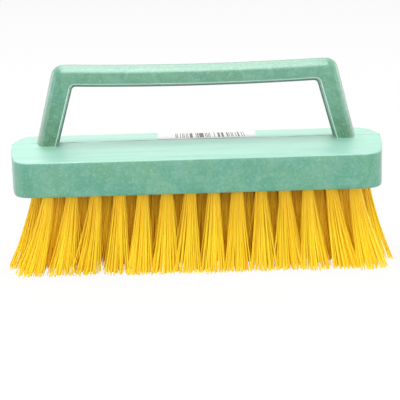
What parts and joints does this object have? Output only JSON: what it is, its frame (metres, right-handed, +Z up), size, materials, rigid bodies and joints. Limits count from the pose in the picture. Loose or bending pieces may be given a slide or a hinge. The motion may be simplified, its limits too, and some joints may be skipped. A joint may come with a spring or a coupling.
{
  "type": "nail brush",
  "caption": "Hand-held nail brush with a long moulded block, a bow handle over its top and rows of flared filament tufts under it.",
  "frame": {"origin": "centre of the bounding box on the plane that the filament tips rest on", "axes": "+X along the block, to the right seen from the front; +Y to the back; +Z up, from the tips to the handle"},
  "size_m": [0.1632, 0.0594, 0.0873],
  "materials": {
    "green_plastic": "moulded foamed polypropylene, matte, faintly marbled with pale flecks",
    "yellow_filament": "extruded filament, satin, cut ends",
    "steel_wire": "galvanised flat wire",
    "white_paper": "coated label paper, satin"
  },
  "bodies": {
    "root": {"block_and_handle": "green_plastic", "tuft_row_1": "yellow_filament", "tuft_row_2": "yellow_filament", "tuft_row_3": "yellow_filament", "tuft_row_4": "yellow_filament", "tuft_row_5": "yellow_filament", "anchor_row_1": "steel_wire", "anchor_row_2": "steel_wire", "anchor_row_3": "steel_wire", "anchor_row_4": "steel_wire", "anchor_row_5": "steel_wire", "label": "white_paper"}
  },
  "joints": []
}
